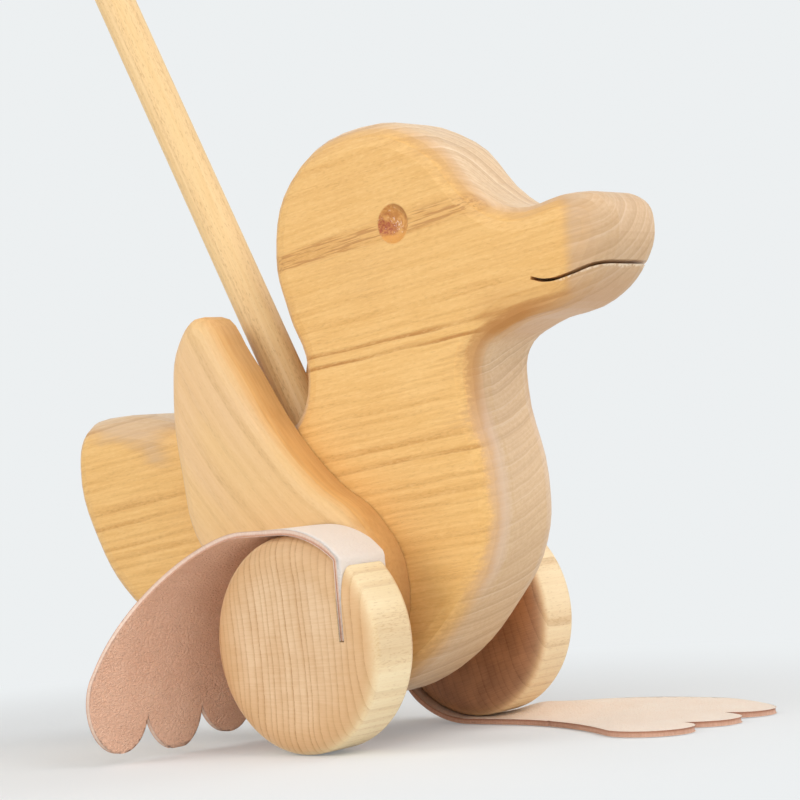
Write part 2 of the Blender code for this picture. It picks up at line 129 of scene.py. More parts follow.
# %% Wires between nodes
class Wire:
    """An output socket of a node."""

    def __init__(self, socket):
        self.socket = socket

    def node(self, kind, settings, sockets, out=0):
        """Add a node: its settings come first, then a value or a wire for each socket."""
        tree = self.socket.id_data
        made = tree.nodes.new("ShaderNode" + kind)
        for key, value in settings.items():
            if key == "stops":
                ramp = made.color_ramp.elements
                while len(ramp) < len(value):
                    ramp.new(1)
                for stop, (position, shade) in zip(ramp, value):
                    stop.position = position
                    stop.color = (shade, shade, shade, 1)
            else:
                setattr(made, key, value)
        for key, value in sockets.items():
            if isinstance(value, Wire):
                tree.links.new(value.socket, made.inputs[key])
            else:
                made.inputs[key].default_value = value
        return Wire(made.outputs[out])

    def maths(self, operation, *values):
        """A Math node, or a Vector Math node where this wire carries a vector."""
        kind = "VectorMath" if self.socket.type == "VECTOR" else "Math"
        return self.node(kind, {"operation": operation}, dict(enumerate(values)))

    def __add__(self, other):
        return self.maths("ADD", self, other)

    def __radd__(self, other):
        return self.maths("ADD", other, self)

    def __sub__(self, other):
        return self.maths("SUBTRACT", self, other)

    def __rsub__(self, other):
        return self.maths("SUBTRACT", other, self)

    def __mul__(self, other):
        return self.maths("MULTIPLY", self, other)

    def __rmul__(self, other):
        return self.maths("MULTIPLY", other, self)

    def __truediv__(self, other):
        return self.maths("DIVIDE", self, other)

    def __rtruediv__(self, other):
        return self.maths("DIVIDE", other, self)

    def __pow__(self, other):
        return self.maths("POWER", self, other)

    def __abs__(self):
        return self.maths("ABSOLUTE", self)

    def dot(self, direction):
        """How far this vector reaches along a direction."""
        return self.node("VectorMath", {"operation": "DOT_PRODUCT"}, {0: self, 1: direction}, "Value")

    def ease(self, start, end):
        """Goes smoothly from 0 at start to 1 at end."""
        settings = {"interpolation_type": "SMOOTHSTEP"}
        if start < end:
            return self.node("MapRange", settings, {"Value": self, "From Min": start, "From Max": end})
        return 1 - self.ease(end, start)

    def mix(self, first, second):
        """Two colours mixed by this wire: the first at 0, the second at 1."""
        # A Mix node has sockets for each kind of data: 6 and 7 take colours, and output 2 gives their mix
        sockets = {0: self}
        for socket, colour in ((6, first), (7, second)):
            sockets[socket] = colour if isinstance(colour, Wire) else (*colour, 1)
        return self.node("Mix", {"data_type": "RGBA"}, sockets, 2)

    def cloud(self, scale, detail=2.0, roughness=0.5):
        """Soft noise at this place, from 0 to 1."""
        sockets = {"Vector": self, "Scale": scale, "Detail": detail, "Roughness": roughness}
        return self.node("TexNoise", {}, sockets, "Fac")


def stretch(x, y, z):
    """A vector from three wires or numbers."""
    first = next(part for part in (x, y, z) if isinstance(part, Wire))
    return first.node("CombineXYZ", {}, {"X": x, "Y": y, "Z": z})


print("a wire can:", ", ".join(name for name in vars(Wire) if not name.startswith("_")))

# %% [markdown]
# Every finish starts from the same things: a Principled shader and the place of a point on the piece.
# Numbers that are the same all over go straight onto the shader's sockets, and what varies is fed in at the
# end.

# %% Start and end a finish
def start_finish(name, **constants):
    """A new material, its shader, and a wire for the place of a point."""
    material = bpy.data.materials.new(name)
    material.use_nodes = True
    shader = material.node_tree.nodes["Principled BSDF"]
    for key, value in constants.items():
        shader.inputs[key.replace("_", " ")].default_value = value
    spots = material.node_tree.nodes.new("ShaderNodeTexCoord")
    return material, shader, Wire(spots.outputs["Object"])


def end_finish(shader, colour, roughness, relief, depth):
    """Feed what varies into a shader. The relief is from 0 to 1, and its depth is in millimetres."""
    bump = relief.node("Bump", {}, {"Strength": 1.0, "Distance": depth * MM, "Height": relief})
    links = shader.id_data.links
    links.new(colour.socket, shader.inputs["Base Color"])
    links.new(roughness.socket, shader.inputs["Roughness"])
    links.new(bump.socket, shader.inputs["Normal"])


print("what varies feeds Base Color, Roughness and Normal")

# %% [markdown]
# ## Solid wood
# A board's figure isn't on its skin: it is the tree's yearly rings, cut through by every face. So the wood
# is a solid texture. A point's distance from the pith, the middle of the tree, says which ring it is in.
# Long faces then show straight lines and end faces show arcs, and both meet at the edges, as they do on a
# real board. Each ring ends in a soft dark band of late wood, no two of them are alike, and short pores
# along the fibres break up both.

# %% A board's own measures
WOOD_IOR = 1.45
LATE_WOOD = (0.4, 0.88)
RING_END = (1.0, 0.9)


def board(place, pith, grain, rise):
    """A point's place along the grain and in two directions across it, in millimetres from the pith."""
    offset = place - tuple(on_duck(*pith))
    along = toward(*grain)
    upward = toward(*rise)
    upward = (upward - along * upward.dot(along)).normalized()
    sideways = along.cross(upward)
    return [offset.dot(tuple(axis / MM)) for axis in (along, sideways, upward)]


def rings(reach, spacing, unevenness, seed):
    """How far a point is through its year's ring, from 0 to 1, and how strongly that year shows."""
    sockets = {"W": reach + seed, "Scale": 0.3 / spacing}
    pace = reach.node("TexNoise", {"noise_dimensions": "1D"}, sockets, "Fac")
    years = reach / spacing + pace * unevenness
    year = years.maths("FLOOR", years)
    show = year.node("TexWhiteNoise", {"noise_dimensions": "1D"}, {"W": year + seed}, "Value")
    return years.maths("FRACT", years), show


def late_wood(part):
    """The dark band at the end of a ring, from 0 to 1."""
    return part.ease(*LATE_WOOD) * part.ease(*RING_END)


def fibres(along, side, rise, width, length, detail=3.0):
    """Noise drawn out along the grain: streaks of a width and length in millimetres."""
    return stretch(along / length, side / width, rise / width).cloud(1.0, detail, 0.6)


print("late wood starts at", LATE_WOOD[0], "of a ring and is darkest at", LATE_WOOD[1])

# %% [markdown]
# ## The duck's board
# The eye was bored almost on the pith: a double dark streak runs through it, and the rings on the forehead,
# the beak and the breast all curve round that line. So the pith lies along the board's right face at the
# height of the eye, rising nearly six degrees towards the beak. Some years show more than others, every
# band comes and goes along its length, and on the left side they all show less.

# %% The duck's wood: its rings
DUCK_PITH = (23.5, -12.5, 112)
DUCK_GRAIN = (1, -0.04, 0.1)
FARTHEST_RING = 120
RING_STRENGTHS = [(0.0, 0.4), (0.05, 0.2), (0.19, 0.3), (0.225, 1.0), (0.26, 1.0), (0.29, 0.3),
                  (0.44, 0.4), (0.5, 0.7), (0.68, 0.6), (0.8, 0.35), (1.0, 0.3)]

duck_wood, shader, place = start_finish("duck_wood", IOR=WOOD_IOR)
ahead, across, height = board(place, (0, 0, 0), (1, 0, 0), (0, 0, 1))
along, side, rise = board(place, DUCK_PITH, DUCK_GRAIN, (0, 0, 1))
heart = (side * side + rise * rise) ** 0.5
drift = stretch(along / 130, side / 40, rise / 40).cloud(1.0, 2.0) - 0.5
waver = stretch(along / 25, side / 8, rise / 8).cloud(1.0, 3.0) - 0.5
streaks = fibres(along, side, rise, 0.9, 40)
pores = fibres(along, side, rise, 0.42, 1.9, 2.0)
reach = heart - across * 0.18 + drift * 6 + waver * 1.3 + (streaks - 0.5) * 0.6
part, show = rings(reach, 3.7, 2.6, 4.2)
fine_part, fine_show = rings(reach, 1.3, 1.0, 8.6)
stand_out = reach.node("ValToRGB", {"stops": RING_STRENGTHS}, {"Fac": reach / FARTHEST_RING})
come_and_go = stretch(along / 35, side / 5, rise / 5).cloud(1.0, 2.0).ease(0.3, 0.65)
band = late_wood(part) * (0.15 + 0.85 * show) * stand_out * (0.35 + 0.65 * come_and_go)
band = band * (0.5 + 0.5 * across.ease(-10, 4))
fine_band = late_wood(fine_part) * fine_show
print("rings round the pith:", len(duck_wood.node_tree.nodes), "nodes")

# %% [markdown]
# The planed sides are a warm honey colour, a little deeper on the head. The year lines are a redder brown,
# short pores break them up, and the strip along the pith is drawn in fine dark threads.

# %% The duck's wood: its planed sides
HONEY = (0.91, 0.56, 0.205)
DEEP_HONEY = (0.84, 0.485, 0.155)
HEAD_TINT = (0.70, 0.36, 0.09)
YEAR_LINE = (0.64, 0.29, 0.055)
DARK_YEAR_LINE = (0.42, 0.155, 0.02)
DARK_PORE = (0.43, 0.195, 0.05)
PALE_FIBRE = (0.99, 0.72, 0.35)
HEART_WOOD = (0.68, 0.34, 0.085)
HEART_THREAD = (0.42, 0.155, 0.03)

planed = streaks.ease(0.3, 0.7).mix(HONEY, DEEP_HONEY)
planed = (height.ease(70, 100) * 0.14).mix(planed, HEAD_TINT)
planed = (band * 0.75 + fine_band * 0.12).mix(planed, YEAR_LINE)
planed = (band * stand_out ** 2 * 0.75).mix(planed, DARK_YEAR_LINE)
pitted = (pores + band * 0.1).ease(0.52, 0.72)
planed = (pitted * (0.12 + 0.35 * band)).mix(planed, DARK_PORE)
planed = (pores.ease(0.45, 0.3) * 0.18).mix(planed, PALE_FIBRE)
heart_strip = abs(rise + waver * 1.5 + drift * 3).ease(3.4, 1.4) * heart.ease(9, 5)
threads = fibres(along, side, rise, 0.6, 60, 2.0).ease(0.47, 0.6)
planed = (heart_strip * 0.28).mix(planed, HEART_WOOD)
planed = (heart_strip * threads * 0.58).mix(planed, HEART_THREAD)
print("with the planed sides:", len(duck_wood.node_tree.nodes), "nodes")

# %% [markdown]
# The edge was sawn and sanded across the fibres. It is paler and pinker, its rings are finer, and each dark
# line has a thin pale one beside it. The beak's end grain is browner, and the tail was sanded further down.
# How far round the edge a point is follows from its distance to the middle of the board, and the two
# colours run into each other along the fibres.

# %% The duck's wood: its edge
HALF_BOARD = 14
EDGE_WIDTH = 7
SAWN = (0.81, 0.58, 0.35)
DEEP_SAWN = (0.74, 0.50, 0.285)
SAWN_LINE = (0.50, 0.285, 0.135)
PALE_LINE = (0.94, 0.76, 0.56)
BEAK_END = (0.56, 0.335, 0.17)
LOW_EDGE = (0.60, 0.385, 0.20)

sanded = (height + (ahead + 115) * 0.35 + waver * 12).ease(62, 70) * ahead.ease(-70, -88)
rounded = (HALF_BOARD - abs(across)) / EDGE_WIDTH + waver * 0.3 + (streaks - 0.5) * 0.3 + sanded * 0.5
rounded = rounded + (ahead + waver * 4).ease(79, 85) * 0.5
edge = rounded.ease(0.0, 0.62)
sawn = streaks.ease(0.3, 0.7).mix(SAWN, DEEP_SAWN)
sawn = (late_wood(part) * (0.1 + 0.3 * show) + fine_band * 0.22).mix(sawn, SAWN_LINE)
sawn = (part.ease(0.22, 0.0) * show * 0.5 + fine_part.ease(0.35, 0.0) * 0.15).mix(sawn, PALE_LINE)
sawn = (ahead.ease(62, 86) * 0.45).mix(sawn, BEAK_END)
sawn = (height.ease(80, 62) * 0.3).mix(sawn, LOW_EDGE)
colour = edge.mix(planed, sawn)
print("with the sawn edge:", len(duck_wood.node_tree.nodes), "nodes")

# %% [markdown]
# Where the edge turns into the side it is browner, and painted shade darkens it most at the throat and under
# the jaw, in the hollow below the beak. Down the breast it carries a painted pale sheen instead.

# %% The duck's wood: where it turns the corner
CORNER_BROWN_AND_SHADE = (0.55, 0.25, 0.07)
BREAST_CORNER = (0.70, 0.45, 0.30)
BREAST_SHEEN = (0.86, 0.71, 0.59)

corner = rounded.ease(0.0, 0.25) * rounded.ease(0.85, 0.35)
shaded_throat = (((ahead - 49) ** 2 + (height - 76) ** 2) ** 0.5).ease(32, 12)
shaded_jaw = height.ease(95, 84) * height.ease(72, 80) * ahead.ease(44, 58)
breast = height.ease(72, 50) * height.ease(5, 18) * ahead.ease(25, 38)
forehead = height.ease(104, 116) * ahead.ease(25, 40)
# Painted shade: the throat and the jaw, in the hollow below the beak, are darkened over the browner corner
colour = (corner * (0.15 + 0.55 * shaded_throat + 0.2 * forehead) + shaded_jaw * 0.4).mix(colour, CORNER_BROWN_AND_SHADE)
colour = (corner * breast * 0.4).mix(colour, BREAST_CORNER)
# A painted highlight: a pale sheen down the breast's rounded corner
painted_sheen = rounded.ease(0.25, 0.55) * rounded.ease(1.0, 0.6)
colour = (painted_sheen * breast * 0.25).mix(colour, BREAST_SHEEN)
print("with the corners:", len(duck_wood.node_tree.nodes), "nodes")

# %% [markdown]
# The saw tore out small pale chips along the lower side of the mouth. The mouth's height is a ramp over its
# length, so that a point's distance below the cut is known.

# %% The duck's wood: chips along the mouth
MOUTH_LINE = [(69.5, 92.2), (74, 91), (81.5, 91.7), (89, 93.6), (99, 94.6)]
MOUTH_START = MOUTH_LINE[0][0]
MOUTH_LENGTH = MOUTH_LINE[-1][0] - MOUTH_START
RAMP_LOW = 90
RAMP_RISE = 5
CHIP = (0.95, 0.78, 0.58)

lengths = np.linspace(0, 1, 12)
heights = np.polyval(np.polyfit(*zip(*MOUTH_LINE), 4), MOUTH_START + MOUTH_LENGTH * lengths)
stops = list(zip(lengths, (heights - RAMP_LOW) / RAMP_RISE))
mouth = ahead.node("ValToRGB", {"stops": stops}, {"Fac": (ahead - MOUTH_START) / MOUTH_LENGTH})
below = mouth * RAMP_RISE + RAMP_LOW - height
chips = below.ease(0.35, 0.55) * (below + waver * 1.5).ease(1.3, 0.8) * ahead.ease(76, 80)
chips = chips * (place * (900, 900, 900)).cloud(1.0, 2.0).ease(0.38, 0.55)
colour = (chips * 0.7).mix(colour, CHIP)
print("the mouth rises from", round(min(heights), 1), "to", round(max(heights), 1), "mm above the axle")

# %% [markdown]
# The eye is a shallow dish, and its floor is mostly end grain. Oil has darkened it in reddish blotches, and
# the drill's point has left a rough pale spot in the middle. A point's distance from the middle says where
# the dish ends.

# %% The dished eyes
EYE = (23.5, 113)
EYE_RIM = (5.9, 5.2)
OILED = (0.78, 0.42, 0.13)
DEEP_OILED = (0.60, 0.26, 0.065)
RED_BLOTCH = (0.40, 0.085, 0.045)
PAINTED_LIT_RIM = (0.85, 0.43, 0.11)
PAINTED_SHADED_RIM = (0.36, 0.165, 0.05)
SPECK = (0.92, 0.72, 0.55)

eye_ahead = ahead - EYE[0]
eye_upward = height - EYE[1]
from_eye = (eye_ahead * eye_ahead + eye_upward * eye_upward) ** 0.5
blotches = (place * (420, 420, 420)).cloud(1.0, 3.0, 0.65)
scratches = (place * (1500, 1500, 1500)).cloud(1.0, 2.0)
low_left = eye_ahead * -0.7 - eye_upward * 0.7
eye_colour = blotches.ease(0.35, 0.6).mix(OILED, DEEP_OILED)
reddened = (low_left + blotches * 8 - 4).ease(-0.8, 2.6) * (0.45 + 0.55 * scratches.ease(0.4, 0.58))
eye_colour = (reddened * 0.85).mix(eye_colour, RED_BLOTCH)
# Painted light on the dish's lower wall and painted shade on its upper right wall
eye_colour = (eye_upward.ease(-2.0, -3.4) * 0.85).mix(eye_colour, PAINTED_LIT_RIM)
eye_colour = (low_left.ease(-2.5, -4.5) * 0.5).mix(eye_colour, PAINTED_SHADED_RIM)
specks = (scratches + from_eye.ease(3.2, 0.3) * 0.14).ease(0.64, 0.74)
eye_colour = (specks * 0.65).mix(eye_colour, SPECK)
dish = from_eye.ease(*EYE_RIM)
colour = dish.mix(colour, eye_colour)
gloss = 0.46 - edge * 0.06 + pitted * 0.12 + dish * 0.2
end_finish(shader, colour, gloss, 1 - pitted * (1 - edge * 0.6), 0.04)
print("duck wood:", len(duck_wood.node_tree.nodes), "nodes")

# %% [markdown]
# ## The wings' boards
# The wings are cut from a plainer, paler board. Its lines run down along each wing in long shallow curves,
# like arcs round a point above the tip of the beak, so the wing's ring distance is measured from there
# and its streaks follow the same arcs.

# %% The wings' wood
WING_OUTER = 26.3
WING_EDGE = 5
WING_ARC = 160
TAN = (0.865, 0.57, 0.265)
ROSY_TAN = (0.855, 0.565, 0.30)
TAN_STREAK = (0.79, 0.485, 0.205)
TAN_LINE = (0.60, 0.335, 0.13)
TAN_PORE = (0.48, 0.25, 0.10)
PALE_TAN = (0.96, 0.72, 0.42)
WING_RIM = (0.84, 0.475, 0.165)
DEEP_WING_RIM = (0.73, 0.38, 0.12)
WING_SHADE = (0.44, 0.205, 0.06)
WING_SHADE_BELOW = 40


def wing_wood(name, centre, seed):
    """Tan wood whose lines curve round a centre given in millimetres from the axle."""
    tan, shader, place = start_finish(name, IOR=WOOD_IOR)
    depth, ahead, above = board(place, (centre[0], 0, centre[1]), (0, -1, 0), (0, 0, 1))
    reach = (ahead * ahead + above * above) ** 0.5
    turn = ahead.maths("ARCTAN2", ahead, above) * WING_ARC
    drift = stretch(turn / 90, reach / 30, depth / 30).cloud(1.0, 2.0) - 0.5
    waver = stretch(turn / 22, reach / 7, depth / 7).cloud(1.0, 3.0) - 0.5
    streaks = fibres(turn, reach, depth, 1.0, 40)
    pores = fibres(turn, reach, depth, 0.42, 1.9, 2.0)
    part, show = rings(reach + depth * 0.5 + drift * 5 + waver * 1.5, 5.6, 1.8, seed)
    warm = stretch(turn / 45, reach / 18, seed).cloud(1.0, 1.0).ease(0.35, 0.65)
    come_and_go = stretch(turn / 30, reach / 6, seed).cloud(1.0, 2.0).ease(0.3, 0.65)
    band = late_wood(part) * (0.2 + 0.8 * show) * (0.25 + 0.75 * come_and_go)
    colour = warm.mix(TAN, ROSY_TAN)
    colour = (streaks.ease(0.3, 0.7) * 0.4).mix(colour, TAN_STREAK)
    colour = (band * 0.25).mix(colour, TAN_LINE)
    pitted = (pores + band * 0.05).ease(0.54, 0.74)
    colour = (pitted * (0.1 + 0.15 * band)).mix(colour, TAN_PORE)
    colour = (pores.ease(0.45, 0.3) * 0.15).mix(colour, PALE_TAN)

    # The rounded edge is darker. Painted shade makes it darkest at the lower end, by the wheel and the
    # leather, and towards the body where the wing meets it
    rounded = (WING_OUTER - abs(depth)) / WING_EDGE + waver * 0.5
    edge = rounded.ease(0.05, 0.75)
    painted_shade = above.ease(WING_SHADE_BELOW - centre[1], -centre[1]) * 0.6 + rounded.ease(0.8, 2.2) * 0.3
    dark = painted_shade.mix(streaks.ease(0.3, 0.7).mix(WING_RIM, DEEP_WING_RIM), WING_SHADE)
    colour = (edge * 0.85).mix(colour, dark)
    end_finish(shader, colour, 0.46 + pitted * 0.12, 1 - pitted, 0.03)
    return tan


wing_finishes = {"right_wing": wing_wood("tan_wood_right", (90, 158), 3.1),
                 "left_wing": wing_wood("tan_wood_left", (78, 150), 7.7)}
print("wing finishes:", ", ".join(wing_finishes))

# %% [markdown]
# ## Wheels, axle and stick
# These are turned from a pale close-grained wood. The wheels are slices of a round blank, so their faces
# are end grain: thin dark year lines, two to three millimetres apart and almost straight because the tree
# was big, crossed by the fine rays of the wood. On the rim the fibres run across the tread, and the rays
# show there as short dark flecks. The way a surface faces tells end grain from long grain, so one finish
# serves a piece.

# %% The turned pieces' wood
RAY_ARC = 200
TURNED_LINE = (0.55, 0.31, 0.12)
TURNED_PORE = (0.52, 0.285, 0.11)
END_GRAIN = ((0.83, 0.585, 0.355), (0.69, 0.43, 0.22))
END_LINE = (0.40, 0.16, 0.035)
OILED_RIM = (0.66, 0.365, 0.14)
SHADED_INNER_FACE = ((0.47, 0.215, 0.095), (0.20, 0.08, 0.035))
WARM_SHOULDER = (0.84, 0.53, 0.215)
SHADED_BACK = (0.66, 0.37, 0.17)


def turned_wood(name, pith, grain, rise, spacing, seed, tones, figure=1.0, flecks=0.28):
    """Pale wood of a turned piece. The grain points to its better end. Figure is how strong its rings are."""
    pale, shader, place = start_finish(name, IOR=WOOD_IOR)
    facing_out = place.node("TexCoord", {}, {}, "Normal").dot(tuple(toward(*grain)))
    along, side, rise = board(place, pith, grain, rise)
    drift = stretch(along / 120, side / 30, rise / 30).cloud(1.0, 2.0) - 0.5
    streaks = fibres(along, side, rise, 0.8, 30)
    pores = fibres(along, side, rise, 0.36, 1.7, 2.0)
    around = side.maths("ARCTAN2", side, rise) * RAY_ARC
    reach = (side * side + rise * rise) ** 0.5 + drift * 2.5 + (streaks - 0.5) * 0.5
    part, show = rings(reach, spacing, 1.2, seed)
    band = late_wood(part) * (0.35 + 0.65 * show)
    pitted = (pores + band * 0.1).ease(0.56, 0.74)
    long_grain = (streaks.ease(0.3, 0.7) * 0.45 + band * (0.3 * figure)).mix(*tones)
    line = part ** 7 * (0.4 + 0.6 * show)
    long_grain = (line * (0.5 * figure) + band ** 3 * (0.1 * figure)).mix(long_grain, TURNED_LINE)
    long_grain = (pitted * flecks).mix(long_grain, TURNED_PORE)

    # End grain drinks up oil, most of all round the rim. Faces turned away from the better end, such as a
    # wheel's back shoulder and its inner face towards the duck, carry painted shade in brown and dark brown
    rays = stretch(along / 3, around / 0.3, reach / 8).cloud(1.0, 2.0).ease(0.4, 0.65)
    dashes = stretch(along / 4, around / 0.9, reach / 5).cloud(1.0, 2.0).ease(0.3, 0.6)
    patches = stretch(along / 9, side / 7, rise / 11).cloud(1.0, 2.0).ease(0.3, 0.7)
    line = line * (0.6 + 0.4 * dashes)
    spot = place - tuple(AXLE)
    spoke = (spot.dot(tuple(toward(1, 0, 0) / MM)) ** 2 + spot.dot(tuple(toward(0, 0, 1) / MM)) ** 2) ** 0.5
    end_grain = (rays * 0.28 + patches * 0.5 + band * 0.25).mix(*END_GRAIN)
    end_grain = (spoke.ease(15, 27) * 0.5).mix(end_grain, OILED_RIM)
    end_grain = (line * 0.95).mix(end_grain, END_LINE)
    inner = (rays * 0.2 + patches * 0.4 + line * 0.6).mix(*SHADED_INNER_FACE)
    shoulder = facing_out.ease(0.0, 0.4) * facing_out.ease(0.95, 0.6)
    colour = facing_out.ease(0.35, 0.92).mix(long_grain, end_grain)
    colour = (shoulder * 0.2).mix(colour, WARM_SHOULDER)
    # Painted shade on the back shoulder and on the inner face, in the gap by the duck
    colour = (facing_out.ease(-0.1, -0.7) * 0.6).mix(colour, SHADED_BACK)
    colour = facing_out.ease(-0.4, -0.95).mix(colour, inner)
    end_finish(shader, colour, 0.46 + pitted * 0.12, 1 - pitted * 0.8 - line * 0.4, 0.03)
    return pale


print("end grain goes from", END_GRAIN[0], "to", END_GRAIN[1], "between its lines")

# %% [markdown]
# Each turned piece has its own pith, outside the piece, and one of three pairs of tones: the stick is more
# golden than the wheels, and the right wheel is the palest.

# %% A finish for each turned piece
STICK_LEAN = math.radians(25.7)
STICK = (-math.sin(STICK_LEAN), 0, math.cos(STICK_LEAN))
GOLDEN = ((0.89, 0.62, 0.305), (0.80, 0.50, 0.21))
CREAM = ((0.985, 0.83, 0.545), (0.90, 0.68, 0.395))
STRAW = ((0.97, 0.775, 0.49), (0.88, 0.63, 0.355))
turned = {
    "right_wheel": turned_wood("wheel_wood_right", (-230, 0, -8), (0, -1, 0), (0, 0, 1), 2.35, 1.3, CREAM),
    "left_wheel": turned_wood("wheel_wood_left", (210, 0, 40), (0, 1, 0), (0, 0, 1), 2.6, 5.9, STRAW),
    "axle": turned_wood("axle_wood", (-40, 0, 12), (0, 1, 0), (0, 0, 1), 2.5, 2.2, STRAW),
    "wing_dowel": turned_wood("dowel_wood", (-40, 0, 60), (0, 1, 0), (0, 0, 1), 2.5, 8.3, STRAW),
    "push_stick": turned_wood("stick_wood", (60, -45, 0), STICK, (0, 1, 0), 3.4, 6.6, GOLDEN, 0.35, 0.45),
    "stick_knob": turned_wood("knob_wood", (-80, -70, 480), STICK, (0, 1, 0), 3.0, 9.4, GOLDEN),
}
print("turned finishes:", ", ".join(turned))

# %% [markdown]
# A piece of the packed model keeps its mesh and its place. Only the material in its slot changes.

# %% Put the wood on the pieces
finishes = {"duck_body": duck_wood, **wing_finishes, **turned}
for name, finish in finishes.items():
    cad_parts[name].material_slots[0].material = finish
    print(name, "wears", finish.name)

# %% [markdown]
# ## Round-shouldered wheels
# The packed wheels are discs with a smaller rounding. The real ones have a soft shoulder that runs eight
# millimetres in over the face, and the year lines bend over it onto the tread. The left wheel has such a
# shoulder on its back too. So each wheel is turned once more from half of its profile, bored for the axle
# and sawn for the leather, and takes the place of the packed one.

# %% The wheels' sizes
GAP = 0.3
WHEEL_RADIUS = 30.0
WHEEL_MID = 36.5
WHEEL_THICKNESS = 19.4
SOFT_SHOULDER = (8.0, 5.0)
SMALL_SHOULDER = (3.0, 3.0)
AXLE_RADIUS = 5.0
AXLE_BITE = 12.0
KERF_OFFSET = 20.5
KERF_FLOOR = 1.0
TONGUE_LEATHER = 1.2
LEFT_WRAP = math.radians(8)
SHARP = math.radians(35)
FLAT_RING = 1.0
SHOULDER_STEPS = 14
TURN_STEPS = 128
BORE_STEPS = 48
MERGE = 0.001


def arc(centre, radius, start, end, steps):
    """Points along an arc, from one angle in degrees to another."""
    angles = np.radians(np.linspace(start, end, steps + 1))
    return [(centre[0] + radius * math.cos(a), centre[1] + radius * math.sin(a)) for a in angles]


def form_object(name, form):
    """A bmesh as an object in the scene."""
    bmesh.ops.recalc_face_normals(form, faces=form.faces)
    mesh = bpy.data.meshes.new(name)
    form.to_mesh(mesh)
    form.free()
    made = bpy.data.objects.new(name, mesh)
    scene.collection.objects.link(made)
    return made


print("wheels of", 2 * WHEEL_RADIUS, "mm with a soft shoulder", SOFT_SHOULDER[0], "mm wide on the face")


# %% [markdown]
# A lathe shapes half of a profile and turns it round the axle, and Blender's spin does the same to a row of
# corners. The shoulders are quarter ovals, and a narrow ring of flat face beside each keeps the smooth
# shading from spreading over the whole face.

# %% Turn a blank
def wheel_blank(name, side, back):
    """A disc turned from half of its profile. A shoulder is its width on the face and on the tread."""
    face = [(WHEEL_RADIUS + SOFT_SHOULDER[0] * (c - 1), WHEEL_THICKNESS + SOFT_SHOULDER[1] * (s - 1))
            for c, s in arc((0, 0), 1, 90, 0, SHOULDER_STEPS)]
    rear = [(WHEEL_RADIUS + back[0] * (c - 1), back[1] * (s + 1))
            for c, s in arc((0, 0), 1, 0, -90, SHOULDER_STEPS)]
    profile = [(0, WHEEL_THICKNESS), (face[0][0] - FLAT_RING, WHEEL_THICKNESS)] + face + rear
    profile += [(rear[-1][0] - FLAT_RING, 0), (0, 0)]
    form = bmesh.new()
    inner = WHEEL_MID - WHEEL_THICKNESS / 2
    corners = [form.verts.new((radius, side * (inner + depth), 0)) for radius, depth in profile]
    edges = [form.edges.new(pair) for pair in zip(corners, corners[1:])]
    bmesh.ops.spin(form, geom=corners + edges, axis=(0, 1, 0), angle=2 * math.pi, steps=TURN_STEPS,
                   use_merge=True)
    bmesh.ops.remove_doubles(form, verts=form.verts, dist=MERGE)
    return form_object(name, form)


def carve(piece, form):
    """Cut a form out of a piece."""
    cutter = form_object("cutter", form)
    change = piece.modifiers.new("cut", "BOOLEAN")
    change.object = cutter
    bpy.context.view_layer.update()
    cut = bpy.data.meshes.new_from_object(piece.evaluated_get(bpy.context.evaluated_depsgraph_get()))
    piece.modifiers.clear()
    piece.data = cut
    bpy.data.objects.remove(cutter)


print("a blank is turned in", TURN_STEPS, "steps")


# %% [markdown]
# A drill and a saw take wood away, and a Boolean modifier does that to a mesh. Each cut is applied at once,
# so the finished wheel is a plain mesh, and its sharp edges are then found by their angle.

# %% Turn, bore and saw both wheels
def turn_wheel(name, side, back):
    """A wheel with its blind bore and saw cut, in place of the packed one."""
    wheel = wheel_blank("turned_" + name, side, back)
    bore = bmesh.new()
    depth = 2 * (WHEEL_MID - WHEEL_THICKNESS / 2 + AXLE_BITE + GAP)
    radius = AXLE_RADIUS + GAP
    bmesh.ops.create_cone(bore, cap_ends=True, segments=BORE_STEPS, radius1=radius, radius2=radius,
                          depth=depth, matrix=Matrix.Rotation(math.pi / 2, 4, "X"))
    carve(wheel, bore)
    kerf = bmesh.new()
    turn = Matrix.Rotation(math.pi + LEFT_WRAP if side > 0 else 0, 4, "Y")
    spot = Matrix.Translation((KERF_OFFSET, 0, KERF_FLOOR + WHEEL_RADIUS))
    size = Matrix.Diagonal((TONGUE_LEATHER + 2 * GAP, 4 * WHEEL_MID, 2 * WHEEL_RADIUS, 1))
    bmesh.ops.create_cube(kerf, size=1, matrix=turn @ spot @ size)
    carve(wheel, kerf)
    wheel.data.transform(Matrix.Translation(AXLE) @ TILT.to_4x4() @ Matrix.Scale(MM, 4))
    wheel.data.shade_smooth()
    wheel.data.set_sharp_from_angle(angle=SHARP)
    wheel.data.materials.clear()
    wheel.data.materials.append(turned[name])
    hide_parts(name)
    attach(wheel, "wheelset")
    print(wheel.name, len(wheel.data.polygons), "faces")


turn_wheel("right_wheel", -1, SMALL_SHOULDER)
turn_wheel("left_wheel", 1, SOFT_SHOULDER)

# %% [markdown]
# ## Leather feet
# Each foot is cut flat from one piece of leather: a tongue that is glued into the wheel's saw cut, a strap
# almost as wide as the tread, and a web that opens out to three rounded toes. The flat pattern is drawn
# first, because that is how the real foot is made, and because the leather's own grain can then be laid on
# it undistorted.

# %% The flat pattern
LEATHER = 1.6
STRAP_WIDTH = 18.5
FOOT_LENGTH = 113.7
WEB_START = 43.0
TOE_PITCH = 20.5
TOE_LENGTH = 13.0
MIDDLE_TOE_LENGTH = 14.8
TOE_OVERLAP = 1.015
TOE_WIDTH = TOE_OVERLAP * TOE_PITCH / 2
LIP_BEND = 1.2
WEB_CURVE = 1.8
WEB_STEPS = 30
OUTER_TOE_START = 130

